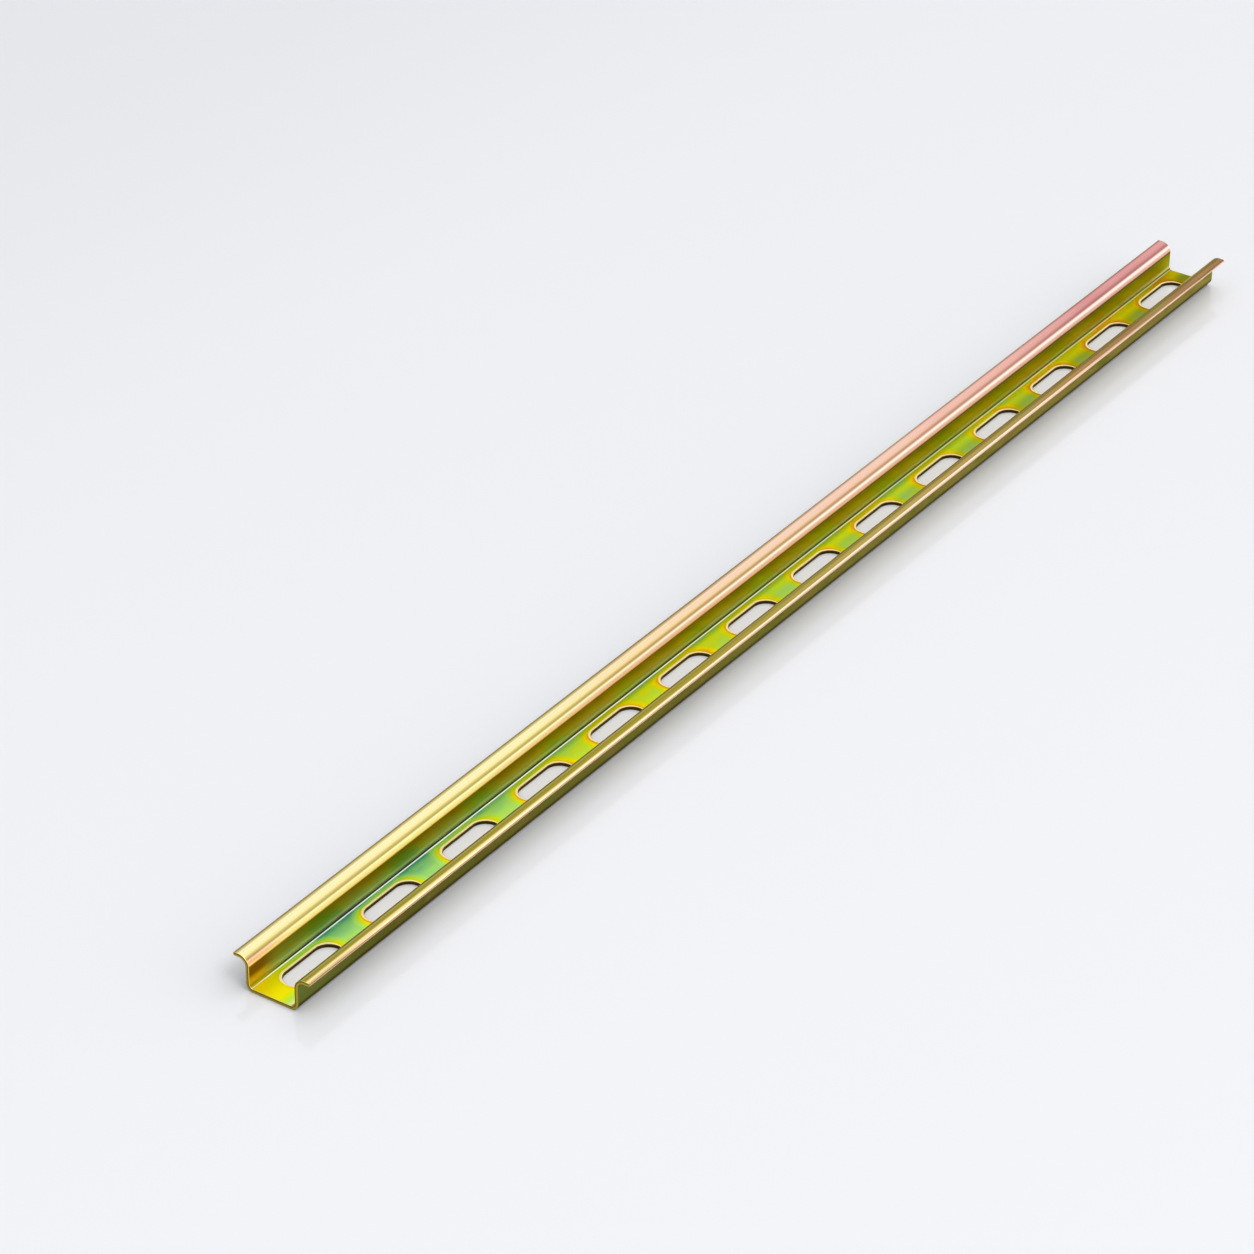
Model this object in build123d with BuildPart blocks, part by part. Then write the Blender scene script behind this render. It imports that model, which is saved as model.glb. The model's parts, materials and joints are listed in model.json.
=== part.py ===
from build123d import *
import os

# Top-hat mounting rail that electrical devices clip onto: one length of rolled steel strip.
# X runs along the rail, Y across it and Z up from the underside of the base.
# The origin is the middle of that underside, halfway along the rail.

# Sizes, in millimetres
rail_length = 700.0
channel_width = 24.0  # over the outer faces of the two webs
flange_overhang = 5.5  # how far each flange stands out from its web
rail_height = 15.0  # from the underside of the base to the top of the flanges
sheet_thickness = 1.5
flange_bend_radius = 3.0  # hollow side of the bend between web and flange
base_bend_radius = 2.0  # hollow side of the bend between web and base
slot_length = 30.0
slot_width = 12.0
slot_pitch = 50.0  # centre to centre of the slots
slot_rim_break = 0.4  # edge that the punch draws in, on the channel side
slot_exit_break = 0.15  # edge where the punch comes out, on the underside
flange_edge_radius = 0.6  # slit edges of the strip, which are rolled nearly round
cut_edge_break = 0.2  # deburred edges of the two cut ends

# The slots repeat over the whole length, and what is left over is shared by the two ends.
slot_count = int(rail_length // slot_pitch)

# Devices clip over the two flanges, so this width is the 35 mm of the rail standard.
rail_width = channel_width + 2 * flange_overhang

# Corners of the strip's underside
half_width = rail_width / 2
half_channel = channel_width / 2
flange_underside = rail_height - sheet_thickness

with BuildPart() as rail:
    # The section is the strip's underside with its four bends, thickened to one constant wall.
    with BuildSketch(Plane.YZ) as section:
        with BuildLine():
            FilletPolyline(
                (-half_width, flange_underside),
                (-half_channel, flange_underside),
                (-half_channel, 0),
                (half_channel, 0),
                (half_channel, flange_underside),
                (half_width, flange_underside),
                radius=[
                    flange_bend_radius,
                    base_bend_radius + sheet_thickness,
                    base_bend_radius + sheet_thickness,
                    flange_bend_radius,
                ],
            )
            offset(amount=sheet_thickness, side=Side.LEFT)
        make_face()
        slit_corners = section.vertices().group_by(Axis.X)
        fillet(slit_corners[0] + slit_corners[-1], flange_edge_radius)
    extrude(amount=rail_length / 2, both=True)

    # One row of long slots is punched along the middle of the base.
    with BuildSketch(Plane.XY):
        with GridLocations(slot_pitch, 0, slot_count, 1):
            SlotOverall(slot_length, slot_width)
    extrude(amount=sheet_thickness, mode=Mode.SUBTRACT)

    # The punch draws the edge in on the channel side and leaves a small break on the underside.
    channel_floor = rail.faces().filter_by(Axis.Z).sort_by(Axis.Z)[1]
    chamfer(channel_floor.inner_wires().edges(), slot_rim_break)
    underside = rail.faces().filter_by(Axis.Z).sort_by(Axis.Z)[0]
    chamfer(underside.inner_wires().edges(), slot_exit_break)

    # Both ends are cut square, and their edges are deburred.
    cut_ends = rail.faces().filter_by(Axis.X).sort_by(Axis.X)
    chamfer(cut_ends[0].edges() + cut_ends[-1].edges(), cut_edge_break)

rail.part.label = "rail"
os.makedirs("parts", exist_ok=True)
export_step(rail.part, "parts/rail.step")
print("rail width", rail_width, "slots", slot_count, "volume mm3", round(rail.part.volume, 1))
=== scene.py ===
# %% [markdown]
# # A slotted mounting rail in yellow chromate
#
# The rail is one strip of steel, 1.5 mm thick. A press punches a row of slots in the flat strip, rollers
# fold it into a hat shape, a saw cuts it off, and a bath leaves zinc and a thin yellow chromate film on it.
# The film is so thin that it shows colours like oil on water: straw, gold and rose on the flanges, and
# green, teal, yellow and orange inside the channel. This script follows the same order: flat strip, slots,
# folding, film.

# %% Load the measured part
import json
import math

import bmesh
import bpy
from mathutils import Matrix, Vector


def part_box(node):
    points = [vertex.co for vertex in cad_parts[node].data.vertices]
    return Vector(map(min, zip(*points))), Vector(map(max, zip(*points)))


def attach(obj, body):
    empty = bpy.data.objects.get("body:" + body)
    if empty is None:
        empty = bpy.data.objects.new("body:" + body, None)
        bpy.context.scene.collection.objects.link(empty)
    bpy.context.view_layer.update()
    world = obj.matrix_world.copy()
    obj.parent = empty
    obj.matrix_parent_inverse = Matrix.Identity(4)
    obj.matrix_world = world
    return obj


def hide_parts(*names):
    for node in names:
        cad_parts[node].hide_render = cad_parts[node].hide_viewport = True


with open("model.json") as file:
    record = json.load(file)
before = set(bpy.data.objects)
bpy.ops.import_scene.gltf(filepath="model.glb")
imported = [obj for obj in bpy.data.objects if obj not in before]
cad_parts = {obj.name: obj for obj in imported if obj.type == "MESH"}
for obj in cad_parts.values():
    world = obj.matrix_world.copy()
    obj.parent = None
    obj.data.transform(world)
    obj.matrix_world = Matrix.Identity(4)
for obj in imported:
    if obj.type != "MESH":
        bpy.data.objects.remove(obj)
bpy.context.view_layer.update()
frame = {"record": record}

mm = 0.001
rail_low, rail_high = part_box("rail")
length, width, height = rail_high - rail_low
print("rail", [round(v / mm, 2) for v in (length, width, height)], "mm")

# %% [markdown]
# ## Sizes of the strip
#
# The overall size comes from the measured part, and so do the slots, which are stated as pairs of fixing
# slots on either side of the middle. The strip's thickness and its bends are the sizes of the measured
# section. Each bend radius is given on the hollow side, as a toolmaker would give it.

# %% Sheet, bends and slots
sheet = 1.5 * mm
channel_width = 24 * mm
base_bend = 2 * mm
flange_bend = 3 * mm
edge_round = 0.6 * mm
same_place = 1e-9  # two places closer than this, in metres, count as one

slot_pairs = [m["dims"] for m in frame["record"]["mounts"] if m["kind"] == "bolt_pattern"]
slot_length = slot_pairs[0]["slot_length_mm"] * mm
slot_radius = slot_pairs[0]["hole_r_mm"] * mm
slot_centres = sorted(side * pair["spacing_x_mm"] / 2 * mm for pair in slot_pairs for side in (-1, 1))
slot_pitch = slot_centres[1] - slot_centres[0]
slot_reach = slot_length / 2 - slot_radius
print(len(slot_centres), "slots,", round(slot_pitch / mm, 1), "mm apart")

# %% [markdown]
# ## Folding flat strip into a hat
#
# The mesh could be a swept outline with holes cut by a Boolean, but a Boolean leaves long thin faces round
# each slot and spoils the highlights. Here every point is placed on the flat strip first, by how far it is
# along it, across it and up through the sheet. One function then folds the strip: flat base, bend, web,
# bend, flat flange. The distance across the strip stays with each point, and the finish uses it later.

# %% Where the flats and bends begin, measured across the strip from its middle line
middle_depth = sheet / 2
base_flat = channel_width / 2 - sheet - base_bend
web_start = base_flat + math.pi / 2 * (base_bend + middle_depth)
web_end = web_start + height - sheet * 2 - base_bend - flange_bend
flange_start = web_end + math.pi / 2 * (flange_bend + middle_depth)
flange_end = flange_start + width / 2 - channel_width / 2 - flange_bend
print("across the strip, mm: base to", round(base_flat / mm, 2), "web", round(web_start / mm, 2), "to",
      round(web_end / mm, 2), "flange", round(flange_start / mm, 2), "to", round(flange_end / mm, 2))

# %% Fold one point


def fold(across, depth):
    """The place (y, z) of a point of the flat strip, where depth 0 is its underside."""
    side = math.copysign(1, across)
    far = abs(across)
    base_radius = base_bend + sheet - depth
    flange_radius = flange_bend + depth
    bend_height = height - sheet - flange_bend
    if far <= base_flat:
        y, z = far, depth
    elif far <= web_start:
        turn = (far - base_flat) / (base_bend + middle_depth)
        y = base_flat + base_radius * math.sin(turn)
        z = base_bend + sheet - base_radius * math.cos(turn)
    elif far <= web_end:
        y, z = channel_width / 2 - depth, base_bend + sheet + far - web_start
    elif far <= flange_start:
        turn = (far - web_end) / (flange_bend + middle_depth)
        y = channel_width / 2 + flange_bend - flange_radius * math.cos(turn)
        z = bend_height + flange_radius * math.sin(turn)
    else:
        y, z = channel_width / 2 + flange_bend + far - flange_start, bend_height + flange_radius
    return side * y, z


# %% [markdown]
# ## A mesh that collects patches
#
# Each patch is a grid of points on the flat strip. The collector joins points that fall on the same place,
# so patches that share an edge become one closed skin. For the finish it keeps each point's distance across
# the strip and its depth in the sheet, and for each face which kind of surface it is.

# %% Kinds of surface, in the order of their material slots
CHANNEL_SIDE, OUTSIDE, SLIT_EDGE, CUT_END, SLOT_WALL = range(5)


class Skin:
    """Points and faces on the flat strip, folded as they are added."""

    def __init__(self):
        self.points, self.across, self.depth = [], [], []
        self.faces, self.kinds, self.index = [], [], {}

    def point(self, along, across, depth):
        """The number of the point at this place of the flat strip, made when it is new."""
        key = tuple(round(v / mm, 4) for v in (along, across, depth))
        if key not in self.index:
            self.index[key] = len(self.points)
            self.points.append((along, *fold(across, depth)))
            self.across.append(across)
            self.depth.append(depth)
        return self.index[key]

    def face(self, corners, kind):
        """One face between corners of the flat strip. Corners that fall together are counted once."""
        numbers = list(dict.fromkeys(self.point(*corner) for corner in corners))
        if len(numbers) > 2:
            self.faces.append(numbers)
            self.kinds.append(kind)

    def patch(self, rows, kind):
        """A grid of faces between rows of points."""
        for near, far in zip(rows, rows[1:]):
            for a, b, c, d in zip(near, near[1:], far[1:], far):
                self.face((a, b, c, d), kind)


skin = Skin()

# %% [markdown]
# ## The slots
#
# A slot is a straight run between two half circles. Rays run out from it to the edges of its own piece of
# base, which gives clean four-sided faces. The punch draws the metal in where it enters, so the rim on the
# channel side is a small quarter round, and the rim underneath is nearly sharp.

# %% Rays around a slot: where each starts on the slot's middle line, and its direction
rim_draw = 0.25 * mm
rim_exit = 0.12 * mm
end_round = 0.2 * mm
rays_to_long_edge = 7
rays_to_short_edge = 8
straight_steps = 6
quarter = math.pi / 2


def spread(first, last, steps):
    """Evenly spaced values from first to last, both included."""
    return [first + (last - first) * k / steps for k in range(steps + 1)]


def slot_rays(room_left, room_right):
    """(middle line offset, angle) around one slot, once round. The rooms are from its centre to its edges."""
    corner_right = math.atan2(base_flat, room_right - slot_reach)
    corner_left = math.atan2(base_flat, room_left - slot_reach)
    right = spread(-quarter, -corner_right, rays_to_long_edge)[:-1]
    right += spread(-corner_right, corner_right, rays_to_short_edge)[:-1]
    right += spread(corner_right, quarter, rays_to_long_edge)
    left = spread(quarter, math.pi - corner_left, rays_to_long_edge)[:-1]
    left += spread(math.pi - corner_left, math.pi + corner_left, rays_to_short_edge)[:-1]
    left += spread(math.pi + corner_left, 3 * quarter, rays_to_long_edge)
    inner = spread(-slot_reach, slot_reach, straight_steps)[1:-1]
    rays = [(slot_reach, angle) for angle in right]
    rays += [(offset, quarter) for offset in reversed(inner)]
    rays += [(-slot_reach, angle) for angle in left]
    rays += [(offset, -quarter) for offset in inner]
    return rays + rays[:1]


# %% Where a ray meets the edge of its piece of base


def hit_edge(offset, angle, room_left, room_right):
    aside, up = math.cos(angle), math.sin(angle)
    room = room_right - offset if aside > 0 else room_left + offset
    meets_long_edge = abs(up) * room > base_flat * abs(aside) - same_place
    reach = base_flat / abs(up) if meets_long_edge else room / abs(aside)
    return offset + reach * aside, reach * up


# %% The base around one slot, on both faces of the strip, and the slot's wall
rim_steps = 5
rim_support = 0.25 * mm


def slot_cell(centre, left_edge, right_edge):
    """Adds the faces, and returns the places along the rail where they meet the bend."""
    room_left, room_right = centre - left_edge, right_edge - centre
    rays = slot_rays(room_left, room_right)

    def ring(grow, depth):
        radius = slot_radius + grow
        return [(centre + o + radius * math.cos(a), radius * math.sin(a), depth) for o, a in rays]

    def border(depth):
        found = [hit_edge(o, a, room_left, room_right) for o, a in rays]
        return [(centre + x, y, depth) for x, y in found]

    turns = spread(0, quarter, rim_steps)
    upper = [ring(rim_draw * (1 - math.sin(t)), sheet - rim_draw * (1 - math.cos(t))) for t in turns]
    lower = [ring(rim_exit * (1 - math.cos(t)), rim_exit * (1 - math.sin(t))) for t in turns]
    skin.patch([border(sheet), ring(rim_draw + rim_support, sheet), upper[0]], CHANNEL_SIDE)
    skin.patch(upper, CHANNEL_SIDE)
    skin.patch([upper[-1], ring(0, sheet / 2), lower[0]], SLOT_WALL)
    skin.patch(lower, OUTSIDE)
    skin.patch([lower[-1], ring(rim_exit + rim_support, 0), border(0)], OUTSIDE)
    return [x for x, y, depth in border(0) if y > base_flat - same_place]


# %% Every slot gets its own piece of base, up to halfway to the next slot or to the rail's end
end_inside = length / 2 - end_round
halfway = [(a + b) / 2 for a, b in zip(slot_centres, slot_centres[1:])]
cell_edges = [-end_inside, *halfway, end_inside]
stations = []
for centre, left_edge, right_edge in zip(slot_centres, cell_edges, cell_edges[1:]):
    stations += slot_cell(centre, left_edge, right_edge)
stations = sorted({round(x, 7) for x in stations})
print(len(stations), "stations along the rail")

# %% [markdown]
# ## Webs, bends and flanges
#
# The rest of the strip is a grid between the base and the slit edge, with more steps in the bends than in
# the flats. A narrow step on each side of a bend keeps the flats from being shaded as if they were curved.

# %% Steps across the strip, from the edge of the base's flat to the start of the rounded slit edge
hold = 0.15 * mm
base_bend_steps, web_steps, flange_bend_steps, slit_steps = 10, 3, 14, 6
slit_start = flange_end - edge_round
across_steps = spread(base_flat, web_start, base_bend_steps)
across_steps += spread(web_start + hold, web_end - hold, web_steps)
across_steps += spread(web_end, flange_start, flange_bend_steps)
across_steps += [flange_start + hold, (flange_start + slit_start) / 2, slit_start]
print(len(across_steps), "steps from the base to the slit edge")

# %% The slit edge, rounded above and below


def slit_edge(inset):
    """The rounded edge of the strip as (across, depth), from the channel side to the underside."""
    corner = edge_round - inset
    upper = [(slit_start + corner * math.sin(t), sheet - edge_round + corner * math.cos(t))
             for t in spread(0, quarter, slit_steps)]
    lower = [(a, sheet - depth) for a, depth in reversed(upper)]
    return upper + lower


# %% Sweep both halves along the rail
for side in (-1, 1):
    for depth, kind in ((sheet, CHANNEL_SIDE), (0, OUTSIDE)):
        skin.patch([[(x, side * a, depth) for x in stations] for a in across_steps], kind)
    skin.patch([[(x, side * a, depth) for x in stations] for a, depth in slit_edge(0)], SLIT_EDGE)

# %% [markdown]
# ## The cut ends
#
# Each end is the section itself, sawn square and deburred. Loops of the section, each set a little
# further in, round the edge over. The face is then filled across the sheet, point against point.

# %% One loop of the section, set in from the skin by a small inset
last_room = slot_pitch / 2, slot_pitch / 2 - end_round
last_hits = [hit_edge(offset, angle, *last_room) for offset, angle in slot_rays(*last_room)]
base_steps = sorted({round(y, 9) for x, y in last_hits if abs(x - last_room[1]) < same_place})
half_steps = across_steps[1:]
strip_steps = [-a for a in reversed(half_steps)] + base_steps + half_steps
print(len(strip_steps), "steps across the strip at the ends")


def section_loop(x, inset):
    upper = [(x, a, sheet - inset) for a in strip_steps]
    lower = [(x, a, inset) for a in reversed(strip_steps)]
    right = [(x, a, depth) for a, depth in slit_edge(inset)]
    left = [(x, -a, depth) for a, depth in reversed(slit_edge(inset))]
    return upper + right[1:-1] + lower + left[1:-1] + upper[:1]


# %% Round both ends over and close them
end_steps = 4
for end in (-1, 1):
    loops = []
    for turn in spread(0, quarter, end_steps):
        x = end * (end_inside + end_round * math.sin(turn))
        loops.append(section_loop(x, end_round * (1 - math.cos(turn))))
    skin.patch(loops, CUT_END)
    face_x = end * length / 2
    pairs = [[(face_x, a, sheet - end_round), (face_x, a, end_round)] for a in strip_steps]
    skin.patch(pairs, CUT_END)
    for side in (-1, 1):
        skin.face([(face_x, side * a, depth) for a, depth in slit_edge(end_round)], CUT_END)
print(len(skin.points), "points,", len(skin.faces), "faces")

# %% [markdown]
# ## From points to an object
#
# The faces go into a mesh, with their kind as the material slot. Recalculating the normals turns all faces
# outwards, which works because the skin is closed. Shading is smooth all over, and a weighted normal
# modifier lets the large flats win over the narrow bends, so that flats look flat.

# %% Build the mesh, with its distance across and its depth at every point
mesh = bpy.data.meshes.new("rail_skin")
mesh.from_pydata(skin.points, [], skin.faces)
mesh.polygons.foreach_set("material_index", skin.kinds)
for name, values in (("across", skin.across), ("depth", skin.depth)):
    mesh.attributes.new(name, "FLOAT", "POINT").data.foreach_set("value", values)

# %% Turn the normals outwards and check that the skin is closed
work = bmesh.new()
work.from_mesh(mesh)
bmesh.ops.recalc_face_normals(work, faces=work.faces)
open_edges = sum(1 for edge in work.edges if not edge.is_manifold)
print("open or doubled edges:", open_edges, "volume", round(work.calc_volume() / mm**3), "mm3")
work.to_mesh(mesh)
work.free()
mesh.polygons.foreach_set("use_smooth", [True] * len(mesh.polygons))

# %% The rail as an object that stands for the measured one
flat_weight = 50
rail = bpy.data.objects.new("slotted_rail", mesh)
bpy.context.scene.collection.objects.link(rail)
weighted = rail.modifiers.new("flats stay flat", "WEIGHTED_NORMAL")
weighted.mode = "FACE_AREA"
weighted.weight = flat_weight
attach(rail, "root")
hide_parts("rail")

# %% [markdown]
# ## Helpers for shader nodes
#
# Materials are graphs of nodes. These helpers make a node, feed each of its sockets with a link, a plain
# number or a colour code, and return the output, so that a formula reads almost as it would on paper.

# %% Making a node and feeding its sockets


def add_node(tree, kind, **settings):
    node = tree.nodes.new(kind)
    for name, value in settings.items():
        setattr(node, name, value)
    return node


def screen_colour(code):
    """A colour as a colour chart gives it, such as f4d67c, in the linear values that nodes use."""
    values = [int(code[k:k + 2], 16) / 255 for k in (0, 2, 4)]
    return (*[v / 12.92 if v <= 0.04045 else ((v + 0.055) / 1.055) ** 2.4 for v in values], 1.0)


def feed(tree, source, socket):
    if isinstance(source, bpy.types.NodeSocket):
        tree.links.new(source, socket)
    elif isinstance(source, str):
        socket.default_value = screen_colour(source)
    else:
        socket.default_value = source


# %% Sums and soft steps


def calc(tree, operation, *values, clamp=False):
    node = add_node(tree, "ShaderNodeMath", operation=operation, use_clamp=clamp)
    for socket, value in zip(node.inputs, values):
        feed(tree, value, socket)
    return node.outputs[0]


def plus(tree, first, second, clamp=False):
    return calc(tree, "ADD", first, second, clamp=clamp)


def times(tree, first, second):
    return calc(tree, "MULTIPLY", first, second)


def ease(tree, value, low, high, start=0.0, end=1.0):
    """A soft step from start to end while value goes from low to high."""
    node = add_node(tree, "ShaderNodeMapRange", interpolation_type="SMOOTHSTEP")
    for socket, given in zip(node.inputs, (value, low, high, start, end)):
        feed(tree, given, socket)
    return node.outputs[0]


def share_between(tree, value, low, high):
    """How far value has gone from low to high, as a plain share from 0 to 1."""
    return calc(tree, "DIVIDE", calc(tree, "SUBTRACT", value, low), high - low, clamp=True)


# %% Mixing values and colours


def share_mix(tree, factor, first, second):
    """A value between first and second. The node's sockets for numbers are its first, third and fourth."""
    node = add_node(tree, "ShaderNodeMix", data_type="FLOAT")
    for number, given in ((0, factor), (2, first), (3, second)):
        feed(tree, given, node.inputs[number])
    return node.outputs[0]


def blend(tree, factor, first, second, way="MIX"):
    node = add_node(tree, "ShaderNodeMix", data_type="RGBA", blend_type=way)
    feed(tree, factor, node.inputs["Factor"])
    feed(tree, first, node.inputs["A"])
    feed(tree, second, node.inputs["B"])
    return node.outputs["Result"]


def grey_of(tree, colour):
    node = add_node(tree, "ShaderNodeRGBToBW")
    feed(tree, colour, node.inputs[0])
    return node.outputs[0]


def ramp(tree, value, stops):
    """A colour for each value from 0 to 1. A stop is a place with a colour code, or with a grey level."""
    node = add_node(tree, "ShaderNodeValToRGB")
    feed(tree, value, node.inputs[0])
    elements = node.color_ramp.elements
    for _ in stops[2:]:
        elements.new(0.5)
    for element, (position, shade) in zip(elements, stops):
        element.position = position
        element.color = screen_colour(shade) if isinstance(shade, str) else (shade, shade, shade, 1)
    return node.outputs["Color"]


# %% Noise at a place


def vector(tree, x=0.0, y=0.0, z=0.0):
    node = add_node(tree, "ShaderNodeCombineXYZ")
    for socket, value in zip(node.inputs, (x, y, z)):
        feed(tree, value, socket)
    return node.outputs[0]


def noise(tree, place, detail, roughness):
    node = add_node(tree, "ShaderNodeTexNoise")
    feed(tree, place, node.inputs["Vector"])
    for name, value in (("Scale", 1.0), ("Detail", detail), ("Roughness", roughness)):
        feed(tree, value, node.inputs[name])
    return node.outputs["Fac"]


# %% Node groups: making one, and placing it in a material


def new_group(name, inputs, outputs):
    """A node group with named sockets, and its tree, inputs and outputs."""
    group = bpy.data.node_groups.new(name, "ShaderNodeTree")
    for label, kind, value in inputs:
        socket = group.interface.new_socket(label, in_out="INPUT", socket_type=kind)
        socket.default_value = value
    for label, kind in outputs:
        group.interface.new_socket(label, in_out="OUTPUT", socket_type=kind)
    return group, group.nodes.new("NodeGroupInput").outputs, group.nodes.new("NodeGroupOutput").inputs


def place_group(tree, group, **values):
    node = add_node(tree, "ShaderNodeGroup", node_tree=group)
    for label, value in values.items():
        feed(tree, value, node.inputs[label])
    return node.outputs


# %% [markdown]
# ## Where on the strip?
#
# Every effect of the finish depends on the place on the strip: how far along it, how far across it, and how
# far from the nearest slot. The distance from a slot is a formula, because the slots repeat: fold the
# length into one pitch, take off the straight part of the slot, and measure to the half circle.

# %% Group: place on the strip, in millimetres
FLOAT, COLOUR = "NodeSocketFloat", "NodeSocketColor"

strip_place, _, out = new_group("place on the strip", [], [
    (label, FLOAT) for label in ("Along", "Across", "Depth", "Height", "Slot Gap", "Slot End")])
tree = strip_place
where = add_node(tree, "ShaderNodeTexCoord").outputs["Object"]
xyz = add_node(tree, "ShaderNodeSeparateXYZ")
feed(tree, where, xyz.inputs[0])
across = add_node(tree, "ShaderNodeAttribute", attribute_name="across").outputs["Fac"]
depth_in_sheet = add_node(tree, "ShaderNodeAttribute", attribute_name="depth").outputs["Fac"]
feed(tree, calc(tree, "MULTIPLY_ADD", xyz.outputs["X"], 1 / mm, length / 2 / mm), out["Along"])
feed(tree, calc(tree, "DIVIDE", across, mm), out["Across"])
feed(tree, calc(tree, "DIVIDE", depth_in_sheet, mm), out["Depth"])
feed(tree, calc(tree, "DIVIDE", xyz.outputs["Z"], mm), out["Height"])

# %% The same group: distance to the nearest slot, and which end of it (1 the near end, 0.5 the far end)
shifted = plus(tree, xyz.outputs["X"], slot_pitch * len(slot_centres))
in_pitch = calc(tree, "SUBTRACT", calc(tree, "MODULO", shifted, slot_pitch), slot_pitch / 2)
past_straight = calc(tree, "SUBTRACT", calc(tree, "ABSOLUTE", in_pitch), slot_reach)
past_straight = calc(tree, "MAXIMUM", past_straight, 0.0)
squares = plus(tree, calc(tree, "POWER", past_straight, 2.0), calc(tree, "POWER", across, 2.0))
from_line = calc(tree, "SQRT", squares)
feed(tree, calc(tree, "DIVIDE", calc(tree, "SUBTRACT", from_line, slot_radius), mm), out["Slot Gap"])
at_near_end = ease(tree, in_pitch, -slot_length / 2, -slot_reach, 1.0, 0.0)
at_far_end = ease(tree, in_pitch, slot_reach, slot_length / 2, 0.0, 0.5)
feed(tree, plus(tree, at_near_end, at_far_end), out["Slot End"])
print("group", strip_place.name)

# %% [markdown]
# ## The colours of the film
#
# A thin film shows the colours of one order after another as it gets thicker. On the real rail the flanges
# are rubbed thin by the rollers and show the first order, from straw to rose. The channel keeps a thicker
# film and shows the second order, from blue through green and yellow to red. One ramp per order turns a
# thickness from 0 to 1 into a colour, and everything else only has to say how thick the film is.

# %% Group: first order, from straw to rose and brown
first_order, given, out = new_group("film, first order", [("Thickness", FLOAT, 0.3)], [("Color", COLOUR)])
feed(first_order, ramp(first_order, given["Thickness"], [
    (0.0, "fff8c4"), (0.25, "fde6c2"), (0.42, "fcdaca"), (0.6, "fccec4"), (0.75, "f4bcb8"), (0.88, "e6a0aa"),
    (1.0, "c07c78"),
]), out["Color"])

# %% Group: second order, from blue to red
second_order, given, out = new_group("film, second order", [("Thickness", FLOAT, 0.5)], [("Color", COLOUR)])
feed(second_order, ramp(second_order, given["Thickness"], [
    (0.0, "4490a4"), (0.12, "5cb89c"), (0.28, "94dc94"), (0.42, "b6ee78"), (0.56, "ccf040"), (0.66, "e4f010"),
    (0.76, "ffee08"), (0.85, "ffc818"), (0.93, "f09040"), (1.0, "d87070"),
]), out["Color"])

# %% Two groups: the painted highlights and painted shade lines on each flange, by the distance across the strip


def painted_light_group(name, stops):
    group, given, out = new_group(name, [("Across", FLOAT, 0.0)], [("Color", COLOUR)])
    first, last = stops[0][0], stops[-1][0]
    shares = [((place - first) / (last - first), code) for place, code in stops]
    feed(group, ramp(group, share_between(group, given["Across"], first, last), shares), out["Color"])
    return group


# Factors on the rear flange's film: white where a painted highlight falls, darker lines of painted shade along
# the bend, and greys that even out the light of the panels on the flat.
rear_painted_light = painted_light_group("rear flange painted light", [
    (19.5, "6c5008"), (19.8, "94741c"), (20.1, "e8c868"), (20.4, "fff8c8"), (20.8, "ffffff"),
    (21.9, "ffffff"), (22.3, "d4cca4"), (22.7, "aca070"), (23.2, "c4b88c"), (23.7, "d4ccb0"),
    (24.3, "d6d2c2"), (25.0, "dcdad0"), (25.6, "ffffff"), (26.1, "fcfaf8"), (26.5, "dcd2b4"),
    (26.9, "ccc0a0"), (27.4, "988c68"),
])
# The front flange's colours across the strip: khaki, with a darker band of painted shade and a pale painted
# highlight line on the bend. A bright band inside the bend, hidden from the camera, is there for the rear bend to
# mirror as a highlight.
front_colour_and_light = painted_light_group("front flange colour and painted light", [
    (22.5, "fff4cc"), (23.7, "747038"), (24.2, "8c8044"), (24.6, "ece094"), (24.9, "f0e08c"),
    (25.2, "c8b848"), (25.6, "a09430"), (26.4, "a89838"),
])

# %% Group: a line along the strip, 1 on the line and 0 beside it, for lines of colour, painted highlight, painted shade and roughness
fold_line, given, out = new_group(
    "fold line", [("Across", FLOAT, 0.0), ("Place", FLOAT, 0.0), ("Width", FLOAT, 0.5)], [("Line", FLOAT)])
beside = calc(fold_line, "ABSOLUTE", calc(fold_line, "SUBTRACT", given["Across"], given["Place"]))
widths_away = calc(fold_line, "DIVIDE", beside, given["Width"])
feed(fold_line, ease(fold_line, widths_away, 0.4, 1.0, 1.0, 0.0), out["Line"])

# %% [markdown]
# ## Streaks and clouds
#
# Rolling leaves very fine lines along the strip. They are noise that is stretched about fiftyfold along the
# rail, so close up they read as brushed lines and from afar they only soften the reflections. The group
# gives the streaks as a value for colour and roughness, and as a height for a bump. The bath leaves slow
# clouds as well, where it ran off the strip. They are the same noise, but hardly stretched.

# %% Group: rolling streaks
streak_stretch = 0.02
streaks, given, out = new_group(
    "rolling streaks", [("Along", FLOAT, 0.0), ("Across", FLOAT, 0.0), ("Width", FLOAT, 0.9)],
    [("Streak", FLOAT), ("Height", FLOAT)])
tree = streaks
stretched = vector(tree, times(tree, given["Along"], streak_stretch),
                   calc(tree, "DIVIDE", given["Across"], given["Width"]))
fine = noise(tree, stretched, 3.0, 0.6)
feed(tree, fine, out["Streak"])
feed(tree, calc(tree, "SUBTRACT", fine, 0.5), out["Height"])

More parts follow.
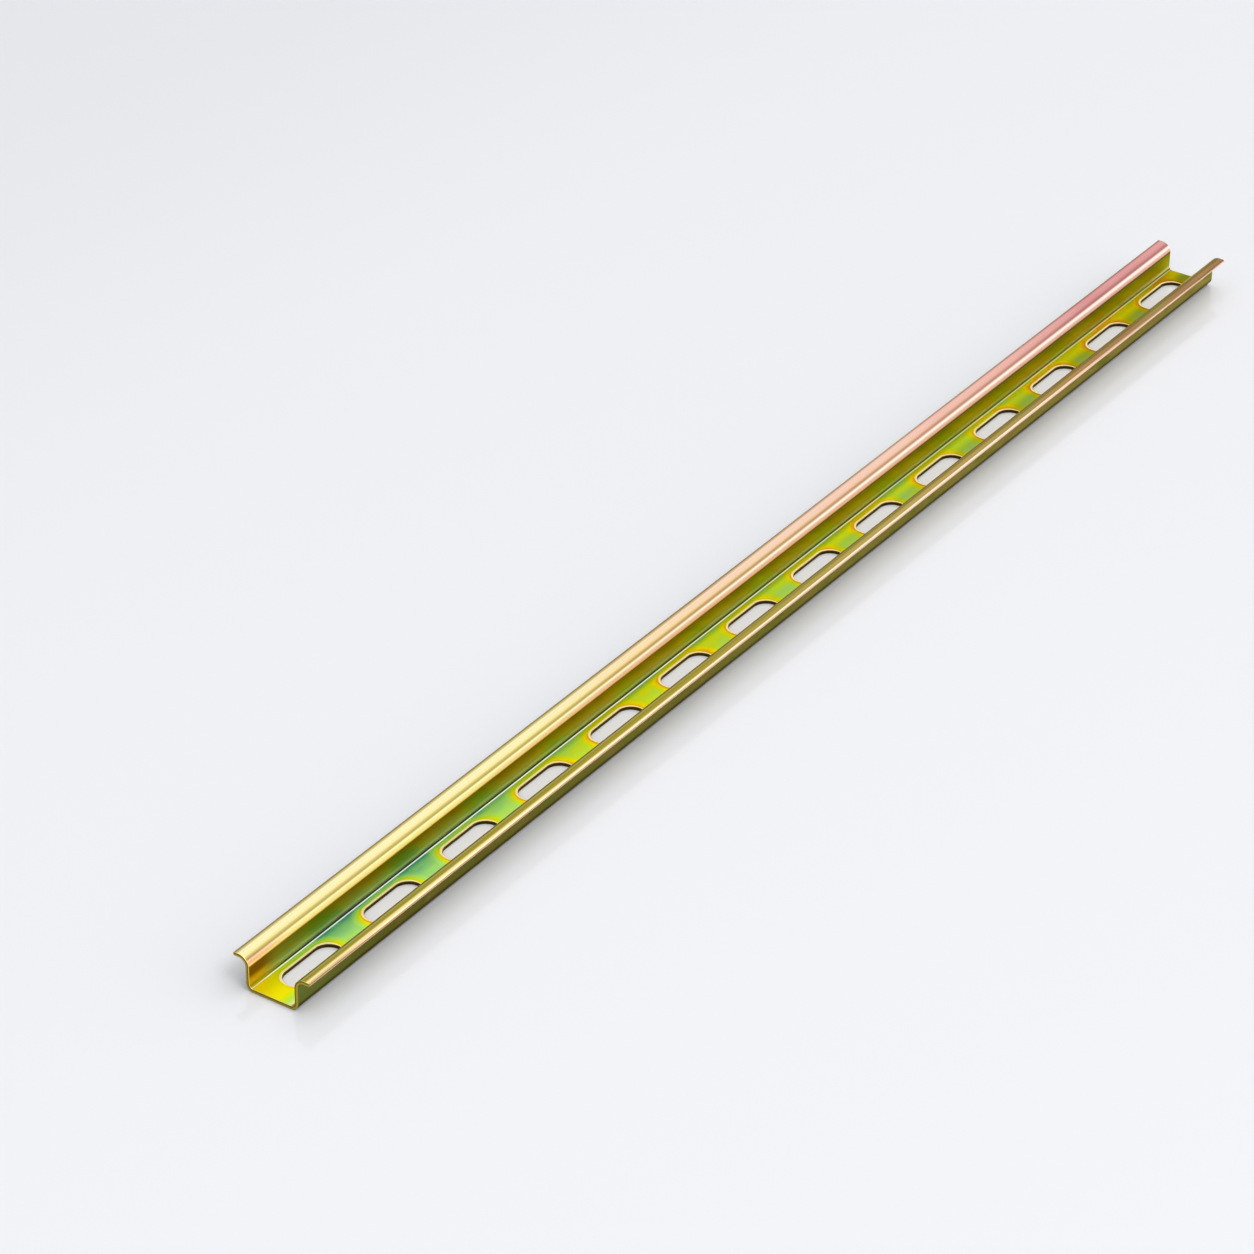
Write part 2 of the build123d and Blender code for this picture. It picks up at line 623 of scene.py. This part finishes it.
# %% Group: slow clouds in the film, from about -0.6 to 0.6
cloud_width = 0.45
clouds, given, out = new_group(
    "film clouds",
    [("Along", FLOAT, 0.0), ("Across", FLOAT, 0.0), ("Size", FLOAT, 30.0), ("Seed", FLOAT, 0.0)],
    [("Cloud", FLOAT)])
tree = clouds
along_sizes = calc(tree, "DIVIDE", given["Along"], given["Size"])
across_sizes = calc(tree, "DIVIDE", given["Across"], times(tree, given["Size"], cloud_width))
spot = vector(tree, along_sizes, across_sizes, given["Seed"])
feed(tree, calc(tree, "MULTIPLY_ADD", noise(tree, spot, 2.5, 0.5), 2.0, -1.0), out["Cloud"])
print("groups", [group.name for group in bpy.data.node_groups])

# %% [markdown]
# ## One recipe for all the faces
#
# All five kinds of surface are the same plated steel. They share one recipe: metal, a colour from the film,
# and streaks that vary the roughness and lift a very small bump. Each material then only says how its
# colour and its roughness are found.

# %% The shared recipe
streak_roughness = 0.12
bump_height = 0.02 * mm


def plated_material(name, find_colour, find_roughness, streak_bump, glancing="fff4bc"):
    material = bpy.data.materials.new(name)
    material.use_nodes = True
    tree = material.node_tree
    shader = tree.nodes["Principled BSDF"]
    shader.inputs["Metallic"].default_value = 1.0
    shader.inputs["Specular Tint"].default_value = screen_colour(glancing)
    place = place_group(tree, strip_place)
    lines = place_group(tree, streaks, Along=place["Along"], Across=place["Across"])
    feed(tree, find_colour(tree, place, lines), shader.inputs["Base Color"])
    smoothest = calc(tree, "SUBTRACT", find_roughness(tree, place), streak_roughness / 2)
    roughness = calc(tree, "MULTIPLY_ADD", lines["Streak"], streak_roughness, smoothest)
    feed(tree, roughness, shader.inputs["Roughness"])
    bump = add_node(tree, "ShaderNodeBump")
    bump.inputs["Strength"].default_value = streak_bump
    bump.inputs["Distance"].default_value = bump_height
    feed(tree, lines["Height"], bump.inputs["Height"])
    feed(tree, bump.outputs["Normal"], shader.inputs["Normal"])
    rail.data.materials.append(material)
    return material


# %% Words that several finishes use


def evenly(roughness):
    """For a face that is equally rough all over."""
    return lambda tree, place: roughness


def along_rail(tree, place):
    """0 at the near end and 1 at the far end."""
    return calc(tree, "DIVIDE", place["Along"], length / mm)


def cloud_of(tree, place, size, seed=0.0):
    return place_group(tree, clouds, Along=place["Along"], Across=place["Across"], Size=size, Seed=seed)["Cloud"]


def line_of(tree, across, line_place, width):
    return place_group(tree, fold_line, Across=across, Place=line_place, Width=width)["Line"]


# %% [markdown]
# ## The flanges
#
# The flanges run between the rollers, which rub their film thin: straw near the front end, rose towards the
# far end. Dark and bright lines along the bend from the web to the flange are painted shade and painted
# highlights. Each line has its place across the strip, and drifts sideways a little along the rail, as the
# highlights of nearby lamps would. Places across are in millimetres of the flat strip, with the web up to
# 19.8 and the flat of the flange from 25.7.

# %% Rear flange: straw to rose, under the painted highlights and painted shade lines of the bend


def rear_flange_colour(tree, place, far_across, share, cloud):
    film = plus(tree, ease(tree, share, 0.25, 0.42, 0.0, 0.3), ease(tree, share, 0.36, 0.98, 0.0, 0.6))
    film = plus(tree, film, times(tree, cloud, 0.12), clamp=True)
    colour = place_group(tree, first_order, Thickness=film)["Color"]
    # Painted light: the highlights and shade lines drift sideways along the rail, as those of nearby lamps would.
    in_bend = times(tree, ease(tree, far_across, 21.0, 22.6, 0.35, 1.0),
                    ease(tree, far_across, 24.4, 25.4, 1.0, 0.0))
    light_drift = times(tree, ease(tree, share, 0.0, 1.0, -0.25, 0.7), in_bend)
    outer_light_drift = times(tree, ease(tree, share, 0.4, 0.7, 0.0, 0.6), ease(tree, far_across, 25.9, 26.4))
    drifted = calc(tree, "SUBTRACT", calc(tree, "SUBTRACT", far_across, light_drift), outer_light_drift)
    # Paler cream on the nose, where the highlight falls: partly thinner film, partly painted highlight.
    on_nose = times(tree, ease(tree, drifted, 21.8, 22.4, 1.0, 0.0), ease(tree, share, 0.15, 0.4))
    colour = blend(tree, on_nose, colour, blend(tree, share, "f8e2c4", "f8d8d0"))
    rose_line = times(tree, line_of(tree, drifted, 21.9, 1.5), ease(tree, place["Along"], 2.0, 30.0, 0.75, 0.0))
    colour = blend(tree, rose_line, colour, "fcc8b0")
    # Painted highlights and painted shade lines of the bend, as factors on the film; they turn grey towards the
    # far end.
    shade = place_group(tree, rear_painted_light, Across=drifted)["Color"]
    shade = blend(tree, ease(tree, share, 0.3, 0.95, 0.0, 0.7), shade, grey_of(tree, shade))
    return blend(tree, 1.0, colour, shade, "MULTIPLY")


# %% Front flange: green and gold with painted light lines, worn to tan, and a painted edge highlight that narrows along the rail


def front_flange_colour(tree, far_across, share, cloud):
    colour = place_group(tree, front_colour_and_light, Across=far_across)["Color"]
    tan = blend(tree, ease(tree, share, 0.55, 0.95), "bca862", "9c745c")
    tan = blend(tree, ease(tree, cloud, 0.0, 0.6, 0.0, 0.6), tan, "94a050")
    tan = blend(tree, ease(tree, cloud, 0.0, -0.6, 0.0, 0.6), tan, "bc9060")
    worn = times(tree, ease(tree, share, 0.3, 0.6, 0.0, 0.9), ease(tree, far_across, 23.4, 25.0))
    colour = blend(tree, worn, colour, tan)
    # A painted highlight along the rounded outer edge, narrowing towards the far end.
    highlight_from = calc(tree, "MULTIPLY_ADD", share_between(tree, share, 0.05, 0.95), 2.9, 26.0)
    painted_highlight = ease(tree, far_across, highlight_from, plus(tree, highlight_from, 0.9))
    edge_highlight_colour = blend(tree, ease(tree, share, 0.1, 0.9), "fdeba8", "f6ccb0")
    return blend(tree, painted_highlight, colour, edge_highlight_colour)


def flange_colour(tree, place, far_across):
    share = along_rail(tree, place)
    cloud = cloud_of(tree, place, 60.0)
    front = front_flange_colour(tree, far_across, share, cloud)
    rear = rear_flange_colour(tree, place, far_across, share, cloud)
    return blend(tree, ease(tree, place["Across"], -1.0, 1.0), front, rear)


# %% [markdown]
# ## The base of the channel
#
# The punch and the rollers leave the base uneven, so the bath coats it unevenly: teal and green halfway
# between the slots and along the creases, yellow beside the slots and orange at their ends. The colours
# could be painted as patches, but then they would meet in the wrong order. Instead the thickness of the
# film is added up first, and the second order turns it into a colour, so yellow always lies between green
# and orange.

# %% Where on the base: in the creases, on the front half, and at both ends of the rail


def base_masks(tree, place, far_across):
    start_from = ease(tree, place["Across"], 0.0, 9.0, 6.0, 4.0)
    start_to = ease(tree, place["Across"], 0.0, 9.0, 13.0, 42.0)
    return {
        "creases": ease(tree, far_across, 6.0, 9.3),
        "front half": ease(tree, place["Across"], 6.5, 1.0, 0.0, 1.0),
        "near end": ease(tree, place["Along"], start_from, start_to, 1.0, 0.0),
        "far end": ease(tree, place["Along"], 645.0, 690.0),
    }


# %% Thickness of the film on the base
orange_film = 0.92


def base_film(tree, place, far_across, share, masks, cloud):
    gap = place["Slot Gap"]
    film = plus(tree, ease(tree, share, 0.1, 0.35, 0.32, 0.66), ease(tree, share, 0.6, 1.0, 0.0, 0.08))
    beside_slot = times(tree, ease(tree, gap, 1.5, 6.5, 1.0, -0.3), ease(tree, share, 0.0, 0.35, 0.22, 0.13))
    in_creases = times(tree, masks["creases"], ease(tree, share, 0.1, 0.7, -0.18, -0.06))
    in_front = times(tree, masks["front half"], ease(tree, share, 0.0, 0.6, 0.09, -0.12))
    small_clouds = times(tree, cloud_of(tree, place, 9.0, 4.0), ease(tree, far_across, 7.5, 9.3, 0.1, 0.4))
    for change in (beside_slot, in_creases, in_front, times(tree, cloud, 0.2), small_clouds):
        film = plus(tree, film, change)
    film = calc(tree, "MULTIPLY_ADD", masks["far end"], 0.03, film)
    film = calc(tree, "MINIMUM", film, orange_film)
    slot_end = times(tree, place["Slot End"], ease(tree, gap, 0.1, 3.4, 1.0, 0.0))
    film = share_mix(tree, slot_end, film, orange_film)
    return share_mix(tree, masks["near end"], film, ease(tree, place["Across"], -7.0, -2.0, 0.5, 0.73))


# %% The rim of a slot: painted shade of a shallow dip around it, a painted highlight ring, and painted shade on the drawn-in edge


def slot_rim(tree, place, colour):
    gap = place["Slot Gap"]
    # Painted shade of a shallow dip around the slot.
    colour = blend(tree, ease(tree, gap, 1.2, 2.4, 0.25, 0.0), colour, "c0c0a0", "MULTIPLY")
    # A painted highlight ring along the rim, wider on the rear side.
    highlight_ring_width = ease(tree, place["Across"], -1.0, 5.0, 0.45, 0.9)
    ring = ease(tree, gap, highlight_ring_width, plus(tree, highlight_ring_width, 0.35), 0.95, 0.0)
    colour = blend(tree, ring, colour, "fff4c0")
    # Painted shade on the drawn-in rounding of the edge.
    return blend(tree, ease(tree, gap, 0.1, 0.22, 0.9, 0.0), colour, "5c4014")


# %% Colour of the base: the film, with painted shade on the front half, towards the far end and in the creases, and a painted highlight at the near front crease


def base_colour(tree, place, far_across, cloud):
    share = along_rail(tree, place)
    masks = base_masks(tree, place, far_across)
    film = base_film(tree, place, far_across, share, masks, cloud)
    colour = place_group(tree, second_order, Thickness=film)["Color"]
    # Painted shade: darker on the front half along the rail, at the far end, towards the far end, and in the
    # creases halfway along.
    front_painted_shade = times(tree, masks["front half"], ease(tree, share, 0.1, 0.95, 0.0, 1.0))
    halfway = times(tree, ease(tree, share, 0.1, 0.35), ease(tree, share, 0.65, 0.85, 1.0, 0.0))
    for mask, shade_tint in (
            (front_painted_shade, "c2c4ec"),
            (masks["far end"], "d8d0c0"),
            (ease(tree, share, 0.6, 0.95), "e8e0e8"),
            (times(tree, masks["creases"], halfway), "dcdcdc")):
        colour = blend(tree, mask, colour, shade_tint, "MULTIPLY")
    # A painted highlight along the front crease at the near end.
    front_crease_highlight = times(tree, masks["near end"], ease(tree, place["Across"], -8.6, -6.0, 0.75, 0.0))
    colour = blend(tree, front_crease_highlight, colour, "f8f4b8")
    return slot_rim(tree, place, colour)


# %% [markdown]
# ## The webs inside the channel
#
# The webs stand upright, so the bath ran down them and left slanted clouds. They are orange at the near
# end and olive towards the far end. Towards the foot they are painted paler as painted light, and towards
# the flange browner as painted shade under the flange. The slant comes from giving the cloud group a place
# along the rail that grows with the place across the strip.

# %% Inner webs
cloud_slant = 1.7


def web_colour(tree, place, far_across, cloud):
    share = along_rail(tree, place)
    slanted_along = calc(tree, "MULTIPLY_ADD", far_across, cloud_slant, place["Along"])
    drawn_out = times(tree, far_across, 0.3)
    slanted = place_group(tree, clouds, Along=slanted_along, Across=drawn_out, Size=8.0)["Cloud"]
    film = plus(tree, ease(tree, share, 0.0, 0.75), times(tree, cloud, 0.3))
    film = plus(tree, film, times(tree, slanted, 0.35), clamp=True)
    colour = ramp(tree, film, [(0.0, "88902c"), (0.3, "b09c14"), (0.6, "b4a80c"), (1.0, "b0a808")])
    # Painted light: paler towards the foot of the web.
    low = times(tree, ease(tree, far_across, 12.6, 15.8, 0.9, 0.0), ease(tree, share, 0.2, 0.8, 1.0, 0.7))
    colour = blend(tree, low, colour, blend(tree, ease(tree, share, 0.3, 0.8), "a8b474", "b4b040"))
    foot_light_and_shade = ease(tree, far_across, 12.5, 13.6, 0.8, 0.0)
    colour = blend(tree, foot_light_and_shade, colour, "d0d890")
    # Painted shade under the flange: browner towards the top, mixed with the slanted clouds.
    high = ease(tree, far_across, 14.5, 19.5, 0.0, 0.85)
    brown_shade_and_clouds = plus(tree, high, times(tree, slanted, 0.45), clamp=True)
    brown_shade_and_clouds = times(tree, brown_shade_and_clouds, ease(tree, place["Along"], 15.0, 90.0, 0.45, 1.0))
    colour = blend(tree, brown_shade_and_clouds, colour, blend(tree, share, "806008", "908c08"))
    # Near the front end the web is gold, painted darker towards the flange as painted shade.
    at_start = ease(tree, place["Along"], 6.0, 18.0, 0.95, 0.0)
    gold_and_shade = blend(tree, ease(tree, far_across, 13.0, 16.5), "e8bc14", "885808")
    return blend(tree, at_start, colour, gold_and_shade)


# %% [markdown]
# ## The whole channel side
#
# Base, webs and flanges are one face of the strip, so they share one material and pass into each other
# without a seam. The bend between the base and a web is the crease: it is darkened as painted shade, with a
# painted highlight along it and a dark line of painted shade just above.

# %% The crease between the base and a web
crease_place = 10.2


def with_crease(tree, place, far_across, colour):
    share = along_rail(tree, place)
    # Painted shade: the crease is darkened.
    colour = blend(tree, line_of(tree, far_across, crease_place, 1.7), colour, "bcb0b8", "MULTIPLY")
    # A painted highlight along the crease.
    painted_highlight = line_of(tree, far_across, ease(tree, share, 0.0, 0.8, 9.6, 10.2), 0.4)
    painted_highlight = times(tree, painted_highlight, ease(tree, share, 0.1, 0.9, 0.75, 0.25))
    painted_highlight = times(tree, painted_highlight, ease(tree, place["Along"], 2.0, 14.0, 0.4, 1.0))
    colour = blend(tree, painted_highlight, colour, "e4e8e0")
    # A dark line of painted shade just above the crease.
    painted_shade_line = line_of(tree, far_across, ease(tree, share, 0.0, 0.8, 10.4, 11.05), 0.62)
    painted_shade_line = times(tree, painted_shade_line, ease(tree, share, 0.1, 0.9, 1.0, 0.6))
    painted_shade_line = times(tree, painted_shade_line, ease(tree, place["Along"], 4.0, 22.0, 0.3, 1.0))
    return blend(tree, painted_shade_line, colour, "2c280a")


# %% Base, webs and flanges together
flange_from = web_end / mm


def channel_colour(tree, place, lines):
    far_across = calc(tree, "ABSOLUTE", place["Across"])
    cloud = cloud_of(tree, place, 34.0)
    base = base_colour(tree, place, far_across, cloud)
    web = web_colour(tree, place, far_across, cloud)
    inside = blend(tree, ease(tree, far_across, 10.6, 12.0), base, web)
    inside = with_crease(tree, place, far_across, inside)
    on_flange = ease(tree, far_across, flange_from - 0.3, flange_from + 0.1)
    return blend(tree, on_flange, inside, flange_colour(tree, place, far_across))


def channel_roughness(tree, place):
    """The rollers polish the flanges and the crease, and the punch roughens the sheet around each slot."""
    far_across = calc(tree, "ABSOLUTE", place["Across"])
    matt = calc(tree, "MULTIPLY_ADD", line_of(tree, far_across, crease_place, 1.6), -0.25, 0.5)
    matt = plus(tree, matt, ease(tree, place["Slot Gap"], 0.9, 1.6, 0.15, 0.0))
    matt = plus(tree, matt, ease(tree, far_across, 19.4, 20.0, 0.0, 0.5))
    return share_mix(tree, ease(tree, far_across, 21.2, 22.2), matt, 0.19)


plated_material("chromate, channel side", channel_colour, channel_roughness, streak_bump=0.06)

# %% [markdown]
# ## The outside
#
# The outside of the webs and the undersides are olive, a little greener at the near end, with small green
# and brown clouds. The foot of each web lies in the shade of its own bend, and is painted nearly black as
# painted shade.

# %% Outside: underside, outer webs and the undersides of the flanges


def outside_colour(tree, place, lines):
    share = along_rail(tree, place)
    film = plus(tree, ease(tree, share, 0.0, 0.9), times(tree, cloud_of(tree, place, 40.0, 9.0), 0.3), clamp=True)
    colour = ramp(tree, film, [(0.0, "706c30"), (0.2, "7e7a38"), (0.6, "8c8840"), (1.0, "a49850")])
    at_start = ease(tree, place["Along"], 8.0, 50.0, 0.85, 0.0)
    colour = blend(tree, at_start, colour, "74803c")
    small = cloud_of(tree, place, 14.0, 3.0)
    colour = blend(tree, ease(tree, small, 0.0, 0.5, 0.0, 0.7), colour, "6c7c30")
    colour = blend(tree, ease(tree, small, 0.0, -0.5, 0.0, 0.7), colour, "98844c")
    # Painted shade: the foot of the web is painted nearly black.
    foot_light_and_shade = ease(tree, calc(tree, "ABSOLUTE", place["Across"]), 12.2, 13.4, 0.8, 0.0)
    return blend(tree, foot_light_and_shade, colour, "383010")


plated_material("chromate, outside", outside_colour, evenly(0.26), streak_bump=0.1, glancing="d8d0b4")

# %% [markdown]
# ## Slit edges
#
# The strip was slit from a wider coil. The slitter cuts the upper half of the edge clean and tears the
# lower half, and the film sits on both. The lower half is therefore rougher, and the material is set half as
# metallic as the others, because torn zinc scatters light as a matt surface does. The lower half is also
# painted paler as painted light, because it faces the shaded table, and the rounded top is painted cream as a
# painted highlight.

# %% Slit edges of the two flanges


def slit_colour(tree, place, lines):
    share = along_rail(tree, place)
    side = blend(tree, ease(tree, share, 0.0, 0.9), "c8906c", "fcd0bc")
    # Painted light: the lower half faces the shaded table below and is painted paler.
    side = blend(tree, ease(tree, place["Height"], 13.9, 14.3, 0.8, 0.0), side, "ffdcb8")
    # The rounded top is painted cream as a painted highlight, turning brown towards the far end.
    top = blend(tree, ease(tree, share, 0.0, 0.7), "ffecbc", "fcd4c4")
    top = blend(tree, ease(tree, share, 0.7, 0.95), top, "946448")
    front = blend(tree, ease(tree, place["Height"], 14.55, 14.85), side, top)
    at_ends = plus(tree, ease(tree, place["Along"], 15.0, 55.0, 1.0, 0.0),
                   ease(tree, place["Along"], 650.0, 685.0))
    upper_ends = times(tree, at_ends, ease(tree, place["Height"], 14.2, 14.5))
    front = blend(tree, upper_ends, front, "c6bab0", "MULTIPLY")
    return blend(tree, ease(tree, place["Across"], -1.0, 1.0), front, "80743c")


def slit_roughness(tree, place):
    return ease(tree, place["Height"], 13.7, 14.3, 0.8, 0.25)


slit_finish = plated_material("chromate, slit edge", slit_colour, slit_roughness, streak_bump=0.1)
slit_finish.node_tree.nodes["Principled BSDF"].inputs["Metallic"].default_value = 0.5

# %% [markdown]
# ## Cut ends and slot walls
#
# The cut ends are sawn and plain gold, darker in a band inside the sheet, with a painted highlight along
# the deburred edge on the channel side. The walls of the slots are bare punch marks in the shade, painted
# dark brown as painted shade. Both are coloured by their place in the sheet or by the streaks alone, which is
# enough for faces this small.

# %% Cut ends and slot walls


def cut_colour(tree, place, lines):
    depth = place["Depth"]
    sawn = blend(tree, lines["Streak"], "94842a", "c4ac48")
    inner = times(tree, ease(tree, depth, 0.7, 1.05), ease(tree, depth, 1.25, 1.4, 1.0, 0.0))
    sawn = blend(tree, times(tree, inner, 0.75), sawn, "403808")
    # A painted highlight along the deburred edge on the channel side.
    return blend(tree, ease(tree, depth, 1.34, 1.46), sawn, "fff0a0")


# The slot walls lie in the shade; their dark brown is painted shade.
def wall_colour(tree, place, lines):
    return blend(tree, lines["Streak"], "32230c", "583e18")


plated_material("chromate, cut end", cut_colour, evenly(0.35), streak_bump=0.2)
plated_material("chromate, slot wall", wall_colour, evenly(0.4), streak_bump=0.2)
print("materials", [m.name for m in rail.data.materials])

# %% [markdown]
# ## Floor
#
# The rail lies on a smooth pale table. A plain diffuse floor would give the soft shadow but not the faint
# mirror image under the near end, so the floor is a pale plastic with a little gloss. It lies a hair below
# the rail, so that the two surfaces don't fall on the same place.

# %% Floor
floor_size = 12.0
floor_gap = 0.02 * mm
half = floor_size / 2
corners = [(-half, -half, 0), (half, -half, 0), (half, half, 0), (-half, half, 0)]
floor_mesh = bpy.data.meshes.new("table")
floor_mesh.from_pydata(corners, [], [(0, 1, 2, 3)])
floor = bpy.data.objects.new("table", floor_mesh)
floor.location.z = rail_low.z - floor_gap
bpy.context.scene.collection.objects.link(floor)
table_top = bpy.data.materials.new("pale table")
table_top.use_nodes = True
surface = table_top.node_tree.nodes["Principled BSDF"]
surface.inputs["Base Color"].default_value = screen_colour("e2e3e7")
surface.inputs["Roughness"].default_value = 0.08
surface.inputs["Specular IOR Level"].default_value = 0.4
floor_mesh.materials.append(table_top)
print("table", floor_size, "m wide")

# %% [markdown]
# ## Light
#
# Metal shows its surroundings, so a long profile is best lit by long panels that run beside it. Seen along
# the rail, each direction of the surroundings is one angle: 0 degrees is the horizon on the left, 90 is
# straight up and 180 is the horizon on the right. The flats mirror about 48 degrees, and each bend sweeps
# through the angles on either side, so every panel and every gap becomes one clean line along a bend.

# %% Panels around the rail, angle in degrees and brightness: ahead of the camera and behind it
panels_ahead = [
    (-180, 0.9), (-4, 0.7), (4, 0.55), (20, 0.42), (36, 0.45), (41, 0.9), (50, 1.0), (61, 1.0),
    (70, 1.45), (115, 1.5), (126, 1.2), (136, 1.15), (148, 1.15), (158, 1.5), (168, 1.75), (186, 1.75)]
panels_behind = [(-180, 0.9), (0, 0.15), (50, 0.2), (60, 0.9), (120, 0.9), (132, 0.6), (180, 0.6)]


def panel_ramp(tree, around, panels):
    return ramp(tree, around, [(min((degrees + 180) / 360, 1.0), level) for degrees, level in panels])


def light_on_table(panels):
    """The light of a full ring of panels on the table, where 1 is an evenly white sky."""
    return sum((math.cos(math.radians(a)) - math.cos(math.radians(b))) * (u + v) / 4
               for (a, u), (b, v) in zip(panels, panels[1:]) if a >= 0)


print("light on the table: panels ahead", round(light_on_table(panels_ahead), 2),
      "behind", round(light_on_table(panels_behind), 2))

# %% The room: one ring of panels ahead, another behind, and a soft change between them
studio = bpy.data.worlds.new("studio")
bpy.context.scene.world = studio
studio.use_nodes = True
tree = studio.node_tree
direction = add_node(tree, "ShaderNodeSeparateXYZ")
feed(tree, add_node(tree, "ShaderNodeTexCoord").outputs["Generated"], direction.inputs[0])
angle = calc(tree, "ARCTAN2", direction.outputs["Z"], direction.outputs["Y"])
around = calc(tree, "MULTIPLY_ADD", angle, 0.5 / math.pi, 0.5)
is_ahead = ease(tree, direction.outputs["X"], -0.25, 0.25)
ring = blend(tree, is_ahead, panel_ramp(tree, around, panels_behind), panel_ramp(tree, around, panels_ahead))
feed(tree, ring, tree.nodes["Background"].inputs["Color"])

# %% [markdown]
# The panels alone would leave a wide grey shadow and dim slots. The half of the room behind the camera is
# kept darker, because hardly any face of the rail mirrors it to the camera, and a softbox hangs there
# instead. It hangs high on the right, so it also lights the table inside the slots and in front of the rail.

# %% Softbox behind the camera
softbox_size = 1.4
softbox_watts = 37.0
softbox_place = Vector((-1.0, -2.1, 3.0))

softbox_data = bpy.data.lights.new("softbox behind the camera", "AREA")
softbox_data.shape = "RECTANGLE"
softbox_data.size, softbox_data.size_y = softbox_size, softbox_size
softbox_data.energy = softbox_watts
softbox = bpy.data.objects.new("softbox behind the camera", softbox_data)
softbox.location = softbox_place
softbox.rotation_euler = (-softbox_place).to_track_quat("-Z", "Y").to_euler()
bpy.context.scene.collection.objects.link(softbox)
print("softbox", round(softbox_place.length, 2), "m from the rail's middle")

# %% [markdown]
# ## Camera
#
# The camera is a long lens well above the near end, looking along the rail. Its place and direction were
# worked out from the rail's corners and slots, so the render and the real picture line up.

# %% Camera
camera_azimuth = math.radians(33.710)
camera_drop = math.radians(31.706)
camera_roll = math.radians(0.851)
camera_place = Vector((-1.4551, -0.8907, 1.0362))
frame_pixels = 1254
focal_pixels = 4783.3

camera_data = bpy.data.cameras.new("camera")
camera_data.sensor_width = 36.0
camera_data.lens = focal_pixels / frame_pixels * camera_data.sensor_width
camera_data.clip_start, camera_data.clip_end = 0.1, 50.0
camera = bpy.data.objects.new("camera", camera_data)
print("camera", round(camera_place.length, 2), "m away, lens", round(camera_data.lens), "mm")

# %% Turn the camera: first level, then rolled a little about its own axis
forward = Vector((math.cos(camera_drop) * math.cos(camera_azimuth),
                  math.cos(camera_drop) * math.sin(camera_azimuth), -math.sin(camera_drop)))
level_right = Vector((math.sin(camera_azimuth), -math.cos(camera_azimuth), 0))
level_up = level_right.cross(forward)
right = math.cos(camera_roll) * level_right + math.sin(camera_roll) * level_up
up = math.cos(camera_roll) * level_up - math.sin(camera_roll) * level_right
camera.matrix_world = Matrix.Translation(camera_place) @ Matrix((right, up, -forward)).transposed().to_4x4()
bpy.context.scene.collection.objects.link(camera)
bpy.context.scene.camera = camera
bpy.context.scene.view_settings.view_transform = "Standard"
